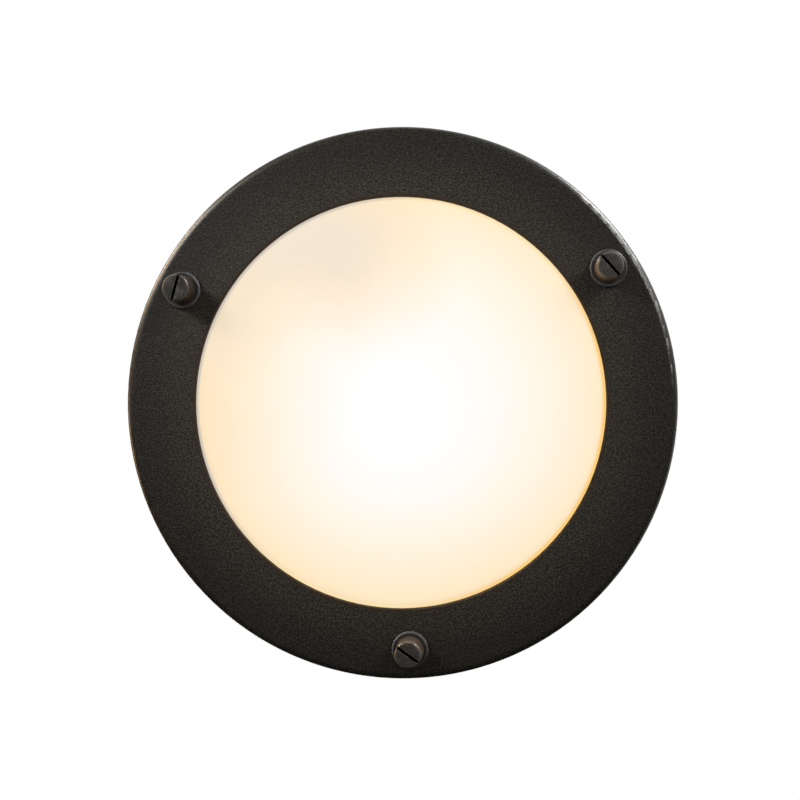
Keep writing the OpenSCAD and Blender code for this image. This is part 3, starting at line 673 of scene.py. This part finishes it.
def glowColour(g, x, y, fromMiddle, fromBright, fromEdge, warp, lampAxis):
    inner = g.step(fromMiddle, *glow["brightReachMask"])
    colour = g.ramp((fromMiddle * (1 - inner) + fromBright * inner) / glow["reach"], glow["stops"])
    far = g.step(x, 0, glow["farLeft"]) * (1 - glow["farLowShare"] * g.step(y, 0, glow["farLow"]))
    colour = g.multiplied(far, colour, glow["farTint"])
    colour = g.multiplied(g.step(y, *glow["lowMask"]), colour, glow["lowTint"])
    halo = glowSpot(g, x, y, warp, lampAxis, *glow["haloSpot"])
    colour = g.multiplied(halo, colour, glow["haloTint"])
    sideX, sideY = glow["edgeSide"]
    facing = (x * sideX + y * sideY) / fromMiddle
    onRim = g.step(fromMiddle, *glow["rimShadeMask"])
    shade = glow["rimShade"] * onRim * g.step(facing, *glow["rimShadeSideMask"])
    for *spot, share in glow["spots"]:
        shade = shade + share * glowSpot(g, x, y, warp, lampAxis, *spot)
    colour = g.mix(shade, colour, glow["shadowTone"])
    rimTone = g.mix(g.step(facing, *glow["edgeWarmMask"]), glow["edgePale"], glow["edgeWarm"])
    rimTone = g.mix(g.step(facing, *glow["edgeGreyMask"]), rimTone, glow["edgeGrey"])
    return g.mix(g.step(fromEdge, *glow["glowEdgeMask"]), colour, rimTone)


def frostedFinish(g, lampAxis, glassRadius):
    glass = frostedGlass
    at = g.coords()
    x, y, _ = g.axes(at)
    fromMiddle = g.length(x, y)
    fromEdge = glassRadius - fromMiddle
    brightX, brightY = glow["brightAt"]
    fromBright = g.length(x - brightX, y - brightY)
    warp = g.noise(at, glow["warpSize"])
    lit = glowColour(g, x, y, fromMiddle, fromBright, fromEdge, warp, lampAxis)
    gain = 1 + glow["brightGain"] * g.step(fromBright, *glow["brightMask"])
    frost = g.noise(at, glass["frost"], detail=3, rough=0.6)
    rounded = g.step(fromEdge, *glass["roundedMask"])
    flange = g.step(-fromEdge, *glass["flangeMask"])
    colour = g.mix(rounded * glass["roundedShare"], glass["colour"], glass["roundedColour"])
    return {
        "Base Color": g.mix(flange * glass["flangeShare"], colour, glass["flangeColour"]),
        "Roughness": about(frost, *glass["roughness"]) + glass["roundedRoughness"] * rounded,
        "Emission Color": g.scaled(g.mix(flange, lit, glass["flangeGlow"]), gain),
        "Emission Strength": 1.0,
        "Normal": g.bump(frost, glass["frostDepth"]),
    }


# Opal glass of the lamp, brightest round the globe, and the dark glass round its tip
opal = {
    "colour": (0.62, 0.60, 0.56),
    "cloudColour": (0.5, 0.47, 0.42),
    "cloud": 8 * mm,
    "cloudShare": 0.3,
    "cloudDepth": 0.02 * mm,
    "roughness": (0.16, 0.08),  # middle and spread
    "glow": (1.0, 0.93, 0.78),
    "neckGlow": (0.62, 0.42, 0.22),
    "strength": 0.9,
}
darkGlass = {
    "colour": (0.010, 0.008, 0.014),
    "swirlColour": (0.035, 0.028, 0.04),
    "swirl": 1.4 * mm,
    "swirlDepth": 0.05 * mm,
    "roughness": (0.14, 0.1),  # middle and spread
}


def opalFinish(g, lampAxis, globeEnd, neckEnd):
    at = g.coords()
    x, y, _ = g.axes(at)
    along = x * lampAxis.x + y * lampAxis.y
    cloud = g.noise(at, opal["cloud"], detail=3)
    return {
        "Base Color": g.mix(cloud * opal["cloudShare"], opal["colour"], opal["cloudColour"]),
        "Roughness": about(cloud, *opal["roughness"]),
        "Emission Color": g.mix(g.step(along, globeEnd, neckEnd), opal["glow"], opal["neckGlow"]),
        "Emission Strength": opal["strength"],
        "Normal": g.bump(cloud, opal["cloudDepth"]),
    }


def darkGlassFinish(g):
    swirl = g.noise(g.coords(), darkGlass["swirl"], detail=3, rough=0.6)
    return {
        "Base Color": g.mix(swirl, darkGlass["colour"], darkGlass["swirlColour"]),
        "Roughness": about(swirl, *darkGlass["roughness"]),
        "Normal": g.bump(swirl, darkGlass["swirlDepth"]),
    }


# Places that the finishes and the new pieces share, read from the frame
lampJoint = joints["bulb_turn"]
lampOrigin = Vector(lampJoint["pos_m"])
lampAxis = -Vector(lampJoint["axis"])  # from the middle of the light out to the lampholder
capPlaces = [Vector(joints[f"cap_{i}_turn"]["pos_m"]) for i in (1, 2, 3)]
capForm = {
    "taper": 0.2 * mm,  # the front's radius is that much smaller
    "slotHalf": 0.5 * mm,
    "slotTurns": (38, 108, 51),  # degrees, as the driver slots stand in the photo
}


# How far a node's points go along an axis, from the nearest to the farthest
def reachAlong(node, origin, axis):
    steps = [(vertex.co - origin).dot(axis) for vertex in nodes[node].data.vertices]
    return min(steps), max(steps)


capLow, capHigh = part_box("cap_1")
capFront = capLow.z - capPlaces[0].z
capFrontRadius = (capHigh.x - capLow.x) / 2 - capForm["taper"]
holderMouth = reachAlong("holder_body", lampOrigin, lampAxis)[0]
lampFar, lampTip = reachAlong("bulb", lampOrigin, lampAxis)
bulbLow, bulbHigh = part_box("bulb")
globeRadius = (bulbHigh.z - bulbLow.z) / 2


# Smallest and largest distance from the middle of the light, of a node's points lower than a height
def radii(node, highest=math.inf):
    spans = [vertex.co.xy.length for vertex in nodes[node].data.vertices if vertex.co.z < highest]
    return min(spans), max(spans)


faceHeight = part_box("cover_ring")[0].z
glassFrontDepth = 1.5 * mm  # to that height behind the ring's face, the glass has no flange
glassEdge = radii("glass", faceHeight + glassFrontDepth)[1]

finishes = {
    "black_finish": makeFinish("powderCoat", powderCoatFinish, *radii("cover_ring"), faceHeight),
    "washer_black": makeFinish("washerNylon", nylonFinish, capPlaces[0].xy.length),
    "frosted_glass": makeFinish("frostedGlass", frostedFinish, lampAxis, glassEdge),
    "gasket_rubber": makeFinish("gasketRubber", rubberFinish),
    "foam": makeFinish("sealFoam", foamFinish),
    "zinc_plate": makeFinish("zincPlate", metalFinish, metals["zinc"]),
    "ceramic_white": makeFinish("porcelain", porcelainFinish),
    "sleeve_nickel": makeFinish("sleeveNickel", metalFinish, metals["nickel"]),
    "brass": makeFinish("brass", metalFinish, metals["brass"]),
    "bulb_glass": makeFinish("opalGlass", opalFinish, lampAxis, lampFar + globeRadius, holderMouth),
    "block_white": makeFinish("blockNylon", blockFinish),
    "lead_brown": makeFinish("brownSleeve", sleeveFinish, sleeves["brown"]),
    "lead_blue": makeFinish("blueSleeve", sleeveFinish, sleeves["blue"]),
}
capFinishes = []
for i in range(3):
    turn = math.radians(capForm["slotTurns"][i])
    size = (capFrontRadius, capFront, capForm["slotHalf"])
    tones = (capBlack["faceLightTones"][i], capBlack["glassGlowTones"][i])
    capFinishes.append(makeFinish(f"capBlack{i + 1}", capFinish, capPlaces[i], turn, *size, *tones))
lampCapFinish = makeFinish("lampCap", metalFinish, metals["nickel"])
lampTipFinish = makeFinish("lampSolder", metalFinish, metals["solder"])
lampInsulatorFinish = makeFinish("lampInsulator", darkGlassFinish)


# Each solid gets the finish of its slot, and each cap its own
def paintFrame():
    for subpart in frame["record"]["subparts"]:
        node = subpart["node"]
        slot = subpart["material_slot"]
        if slot == "cap_black":
            finish = capFinishes[int(node[-1]) - 1]
        else:
            finish = finishes[slot]
        materials = nodes[node].data.materials
        materials.clear()
        materials.append(finish)


paintFrame()
print("frame painted")

# New pieces: each mesh is made about its own axis and then put in place
nearAxis = 1e-7  # a smaller radius is a point on the axis
weldDistance = 1e-6
threadFlank = (0.12, 0.88)  # shares of half a pitch between which a thread's flank rises


# A frame whose Z lies along the axis and whose middle is at the origin
def alongAxis(origin, axis):
    return Matrix.Translation(origin) @ axis.to_track_quat("Z", "Y").to_matrix().to_4x4()


# A turned piece from its outline of radius and height, closed at both ends on the axis
def turned(name, outline, place, material, segments=96):
    verts = []
    faces = []
    rings = []
    for radius, height in outline:
        if radius < nearAxis:
            rings.append([len(verts)] * segments)
            verts.append((0, 0, height))
            continue
        rings.append(list(range(len(verts), len(verts) + segments)))
        for k in range(segments):
            angle = math.tau * k / segments
            verts.append((radius * math.cos(angle), radius * math.sin(angle), height))
    for low, high in zip(rings, rings[1:]):
        for k in range(segments):
            after = (k + 1) % segments
            corners = [low[k], low[after], high[after], high[k]]
            faces.append(list(dict.fromkeys(corners)))
    mesh = bpy.data.meshes.new(name)
    mesh.from_pydata(verts, [], faces)
    mesh.transform(place)
    mesh.polygons.foreach_set("use_smooth", [True] * len(mesh.polygons))
    mesh.materials.append(material)
    mesh.update()
    return addObject(name, mesh)


def addObject(name, mesh):
    piece = bpy.data.objects.new(name, mesh)
    bpy.context.scene.collection.objects.link(piece)
    return piece


# Points of an arc of radius and height, from one angle to another
def arc(middle, radius, start, end, steps):
    angles = [math.radians(start + (end - start) * k / steps) for k in range(steps + 1)]
    return [(middle[0] + radius * math.cos(a), middle[1] + radius * math.sin(a)) for a in angles]


# Geometry tree of a threaded rod: a grid rolled into a tube whose radius follows the helix
def threadTree():
    tree = bpy.data.node_groups.new("threadedRod", "GeometryNodeTree")
    g = Graph(tree)
    for name in ("Radius", "Depth", "Pitch", "Length", "Chamfer"):
        tree.interface.new_socket(name, in_out="INPUT", socket_type="NodeSocketFloat")
    for name in ("Around", "Along"):
        tree.interface.new_socket(name, in_out="INPUT", socket_type="NodeSocketInt")
    tree.interface.new_socket("Finish", in_out="INPUT", socket_type="NodeSocketMaterial")
    tree.interface.new_socket("Rod", in_out="OUTPUT", socket_type="NodeSocketGeometry")
    given = g.add("NodeGroupInput")
    size = {item.name: Flow(g, item) for item in given.socket.node.outputs if item.name}
    counts = {"Vertices X": size["Around"], "Vertices Y": size["Along"], "Size X": 1.0, "Size Y": 1.0}
    grid = g.add("GeometryNodeMeshGrid", None, counts)
    u, v, _ = g.axes(g.add("GeometryNodeInputPosition"))
    u = u + 0.5
    v = v + 0.5
    row = 1 / (size["Along"] - 1)
    share = g.maths("MINIMUM", g.maths("MAXIMUM", (v - row) / (1 - 2 * row), 0.0), 1.0)
    height = share * size["Length"]
    phase = g.maths("FRACT", height / size["Pitch"] + u)
    ridge = g.step(1 - abs(2 * phase - 1), *threadFlank)
    toEnd = g.maths("MINIMUM", height, size["Length"] - height)
    fade = g.maths("MINIMUM", toEnd / size["Pitch"], 1.0)
    radius = size["Radius"] - size["Depth"] * (1 - ridge * fade)
    chamfer = g.maths("MAXIMUM", size["Chamfer"] - (size["Length"] - height), 0.0)
    aroundSide = g.maths("GREATER_THAN", v, 0.5 * row) * g.maths("LESS_THAN", v, 1 - 0.5 * row)
    radius = (radius - chamfer) * aroundSide  # the first and last rows close the ends
    x = radius * g.maths("COSINE", u * math.tau)
    y = radius * g.maths("SINE", u * math.tau)
    place = g.add("ShaderNodeCombineXYZ", None, {0: x, 1: y, 2: height})
    rolled = g.add("GeometryNodeSetPosition", None, {"Geometry": grid, "Position": place})
    merged = g.add("GeometryNodeMergeByDistance", None, {"Geometry": rolled, "Distance": weldDistance})
    smooth = g.add("GeometryNodeSetShadeSmooth", None, {"Geometry": merged})
    real = g.add("GeometryNodeRealizeInstances", None, {"Geometry": smooth})
    painted = g.add("GeometryNodeSetMaterial", None, {"Geometry": real, "Material": size["Finish"]})
    g.add("NodeGroupOutput", None, {0: painted})
    return tree


rodTree = threadTree()


# Runs the tree on a new object, keeps the mesh it makes and puts it in place
def threadedRod(name, place, values):
    piece = addObject(name, bpy.data.meshes.new(name))
    modifier = piece.modifiers.new("thread", "NODES")
    modifier.node_group = rodTree
    for item in rodTree.interface.items_tree:
        if item.in_out == "INPUT":
            modifier[item.identifier] = values[item.name]
    evaluated = piece.evaluated_get(bpy.context.evaluated_depsgraph_get())
    made = bpy.data.meshes.new_from_object(evaluated)
    piece.modifiers.remove(modifier)
    made.transform(place)
    made.name = name
    piece.data = made
    return piece


# Studs: a rolled thread on a collar that is welded to the ring
studThread = {
    "radius": 2.5 * mm,
    "pitch": 0.8 * mm,
    "depth": 0.43 * mm,
    "chamfer": 0.5 * mm,
    "around": 33,
    "along": 241,
    "collarHeight": 0.8 * mm,
    "collarRounding": 0.32 * mm,
}


def makeStud(i):
    low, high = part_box(f"stud_{i}")
    top = Vector(((low.x + high.x) / 2, (low.y + high.y) / 2, high.z))
    down = alongAxis(top, Vector((0, 0, -1)))
    values = {
        "Radius": studThread["radius"],
        "Depth": studThread["depth"],
        "Pitch": studThread["pitch"],
        "Length": high.z - low.z,
        "Chamfer": studThread["chamfer"],
        "Around": studThread["around"],
        "Along": studThread["along"],
        "Finish": finishes["zinc_plate"],
    }
    rod = threadedRod(f"studThread{i}", down, values)
    radius = (high.x - low.x) / 2
    height = studThread["collarHeight"]
    rounding = studThread["collarRounding"]
    outline = [(0, 0), (radius, 0), (radius, height - rounding)]
    outline += arc((radius - rounding, height - rounding), rounding, 0, 90, steps=5)
    outline += [(studThread["radius"], height), (0, height)]
    collar = turned(f"studCollar{i}", outline, down, finishes["zinc_plate"], segments=48)
    for piece in (rod, collar):
        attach(piece, "base")
    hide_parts(f"stud_{i}")


for i in (1, 2, 3):
    makeStud(i)
print("studs")

# Lamp: an opal globe, a shell with a rolled thread, dark glass and a soldered tip
lamp = {
    "neckShare": 0.67,  # how far along the axis the neck leaves the globe, as a share of its radius
    "neckShows": 1.5 * mm,  # the neck ends that far before the lampholder's mouth
    "neckRadius": 13.5 * mm,
    "seat": 0.3 * mm,  # the glass goes that far into the shell
    "shellRadius": 13.0 * mm,
    "threadPitch": 3.63 * mm,
    "threadDepth": 0.75 * mm,
    "chamfer": 0.4 * mm,
    "around": 97,
    "along": 121,
    "coneHeight": 4.0 * mm,
    "coneSide": 0.3 * mm,
    "coneRadius": 6.0 * mm,
    "tipHeight": 1.2 * mm,
    "tipRadius": 4.8 * mm,
    "tipSide": 0.5 * mm,
    "tipShoulder": (0.4 * mm, 0.3 * mm),  # in from its side and down from its top
    "tipRounding": 1.2 * mm,
}


# The neck runs from the globe to the shell as a smooth curve, level where it meets the shell
def neckOutline(start, end, slope, steps):
    points = []
    for k in range(1, steps + 1):
        t = k / steps
        length = end[1] - start[1]
        radius = start[0] * (2 * t**3 - 3 * t**2 + 1) + end[0] * (3 * t**2 - 2 * t**3)
        radius += slope * length * (t**3 - 2 * t**2 + t)
        points.append((radius, start[1] + t * length))
    return points


def makeLamp():
    place = alongAxis(lampOrigin, lampAxis)
    middle = lampFar + globeRadius
    leave = math.degrees(math.asin(lamp["neckShare"]))
    globe = arc((0, middle), globeRadius, -90, leave, steps=40)
    neckEnd = holderMouth - lamp["neckShows"]
    slope = -math.tan(math.radians(leave))
    neck = neckOutline(globe[-1], (lamp["neckRadius"], neckEnd), slope, steps=16)
    outline = [(0, globe[0][1])] + globe[1:] + neck
    seated = neckEnd + lamp["seat"]
    outline += [(lamp["shellRadius"] - lamp["seat"], seated), (0, seated)]
    glass = turned("lampGlobe", outline, place, finishes["bulb_glass"], segments=128)

    coneStart = lampTip - lamp["coneHeight"]
    values = {
        "Radius": lamp["shellRadius"],
        "Depth": lamp["threadDepth"],
        "Pitch": lamp["threadPitch"],
        "Length": coneStart - neckEnd,
        "Chamfer": lamp["chamfer"],
        "Around": lamp["around"],
        "Along": lamp["along"],
        "Finish": lampCapFinish,
    }
    shell = threadedRod("lampShell", place @ Matrix.Translation((0, 0, neckEnd)), values)

    coneEnd = lampTip - lamp["tipHeight"]
    radius = lamp["shellRadius"] - lamp["threadDepth"] - lamp["chamfer"]
    cone = [(0, coneStart), (radius, coneStart), (radius, coneStart + lamp["coneSide"])]
    cone += [(lamp["coneRadius"], coneEnd), (0, coneEnd)]
    insulator = turned("lampInsulator", cone, place, lampInsulatorFinish, segments=64)

    radius = lamp["tipRadius"]
    shoulderIn, shoulderDown = lamp["tipShoulder"]
    dome = [(0, coneEnd), (radius, coneEnd), (radius, coneEnd + lamp["tipSide"])]
    dome += [(radius - shoulderIn, lampTip - shoulderDown)]
    dome += [(radius - lamp["tipRounding"], lampTip), (0, lampTip)]
    tip = turned("lampTip", dome, place, lampTipFinish, segments=48)
    for piece in (glass, shell, insulator, tip):
        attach(piece, "bulb")
    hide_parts("bulb")


makeLamp()
print("lamp")

# Studio: a pale floor far below the hanging light, soft lamps and a surround that the camera sees white
studio = {
    "floorHeight": -0.95,
    "floorHalf": 8.0,
    "floorColour": (0.72, 0.71, 0.69),
    "floorMirrored": (0.12, 0.118, 0.115),
    "floorRoughness": 0.9,
    "paper": 2 * mm,
    "paperTone": 0.96,
    "whiteNear": 0.45,  # share of plain white that the camera sees, near the light, and 1 farther out
    "whiteMask": (0.8, 3.0),
    "surroundLight": 0.17,
    "leftTint": (0.14, 0.088, 0.047),
    "leftMask": (-0.33, -0.6),
    "lowTint": (0.02, 0.019, 0.017),
    "lowMask": (0.25, 0.75),
    "lampAim": (0, 0, -0.05),
}
lamps = {
    "keyLeft": {"place": (-0.32, -0.26, -0.28), "size": 0.10, "power": 1.45, "colour": (1.0, 0.99, 0.97)},
    "keyRight": {"place": (0.35, -0.26, -0.28), "size": 0.18, "power": 1.3, "colour": (1.0, 0.99, 0.97)},
    "rim": {"place": (0.60, -0.60, -0.018), "size": 0.20, "power": 8.6, "colour": (1.0, 1.0, 0.98)},
    "warm": {"place": (-0.60, -0.38, -0.020), "size": 0.22, "power": 6.8, "colour": (1.0, 0.74, 0.46)},
    "warmLow": {"place": (-0.68, 0.06, -0.026), "size": 0.22, "power": 1.2, "colour": (1.0, 0.66, 0.34)},
    "top": {"place": (-0.25, 0.30, 0.75), "size": 0.8, "power": 5.0, "colour": (1.0, 1.0, 1.0)},
}


def makeFloor():
    half = studio["floorHalf"]
    height = studio["floorHeight"]
    mesh = bpy.data.meshes.new("floor")
    corners = [(-half, -half, height), (half, -half, height), (half, half, height), (-half, half, height)]
    mesh.from_pydata(corners, [], [(0, 1, 2, 3)])
    floor = addObject("floor", mesh)
    material = bpy.data.materials.new("paleFloor")
    material.use_nodes = True
    g = Graph(material.node_tree)
    at = g.coords()
    x, y, _ = g.axes(at)
    far = g.step(g.length(x, y), *studio["whiteMask"])
    paper = g.noise(at, studio["paper"], detail=3)
    path = g.add("ShaderNodeLightPath")
    colour = g.mix(paper, studio["floorColour"], shaded(studio["floorColour"], studio["paperTone"]))
    colour = g.mix(g.output(path, "Is Glossy Ray"), colour, studio["floorMirrored"])
    values = {"Base Color": colour, "Roughness": studio["floorRoughness"]}
    matt = g.add("ShaderNodeBsdfPrincipled", None, values)
    white = g.add("ShaderNodeEmission", None, {"Color": (1, 1, 1, 1), "Strength": 1.0})
    near = studio["whiteNear"]
    share = (near + (1 - near) * far) * g.output(path, "Is Camera Ray")
    surface = g.add("ShaderNodeMixShader", None, {0: share, 1: matt, 2: white})
    g.add("ShaderNodeOutputMaterial", None, {"Surface": surface})
    mesh.materials.append(material)


def makeWorld():
    world = bpy.data.worlds.new("studio")
    bpy.context.scene.world = world
    world.use_nodes = True
    g = Graph(world.node_tree)
    path = g.add("ShaderNodeLightPath")
    camera = g.output(path, "Is Camera Ray")
    gloss = g.maths("MAXIMUM", g.output(path, "Is Glossy Ray"), g.output(path, "Is Transmission Ray"))
    x, y, _ = g.axes(g.output(g.add("ShaderNodeTexCoord"), "Generated"))
    around = g.mix(g.step(x, *studio["leftMask"]), (1, 1, 1), studio["leftTint"])
    around = g.mix(g.step(y, *studio["lowMask"]), around, studio["lowTint"])
    soft = (studio["surroundLight"],) * 3
    colour = g.mix(camera, g.mix(gloss, soft, around), (1, 1, 1))
    surround = g.add("ShaderNodeBackground", None, {"Color": colour, "Strength": 1.0})
    g.add("ShaderNodeOutputWorld", None, {"Surface": surround})


def makeLamps():
    aim = Vector(studio["lampAim"])
    for name, values in lamps.items():
        light = bpy.data.lights.new(name, "AREA")
        light.shape = "DISK"
        light.size = values["size"]
        light.energy = values["power"]
        light.color = values["colour"]
        holder = bpy.data.objects.new(name, light)
        bpy.context.scene.collection.objects.link(holder)
        holder.location = values["place"]
        holder.rotation_euler = (aim - holder.location).to_track_quat("-Z", "Y").to_euler()
        holder.visible_camera = False


# The camera hangs under the light and looks up, as the photograph was taken
viewpoint = {
    "place": (0.037, 0.003, -0.570),
    "aim": (0.0004, -0.0008, -0.070),
    "lens": 69.4,
    "sensor": 36.0,
    "roll": math.radians(2.6),
    "nearest": 0.01,
}


def makeCamera():
    camera = bpy.data.cameras.new("camera")
    camera.lens = viewpoint["lens"]
    camera.sensor_width = viewpoint["sensor"]
    camera.clip_start = viewpoint["nearest"]
    camera.dof.use_dof = False
    holder = bpy.data.objects.new("camera", camera)
    bpy.context.scene.collection.objects.link(holder)
    place = Vector(viewpoint["place"])
    forward = (Vector(viewpoint["aim"]) - place).normalized()
    right = forward.cross(Vector((0, -1, 0))).normalized()
    up = right.cross(forward)
    cosine = math.cos(viewpoint["roll"])
    sine = math.sin(viewpoint["roll"])
    columns = Matrix((right * cosine - up * sine, up * cosine + right * sine, -forward)).transposed()
    holder.matrix_world = Matrix.Translation(place) @ columns.to_4x4()
    bpy.context.scene.camera = holder


makeFloor()
makeWorld()
makeLamps()
makeCamera()
bpy.context.scene.view_settings.view_transform = "Standard"
print("studio")
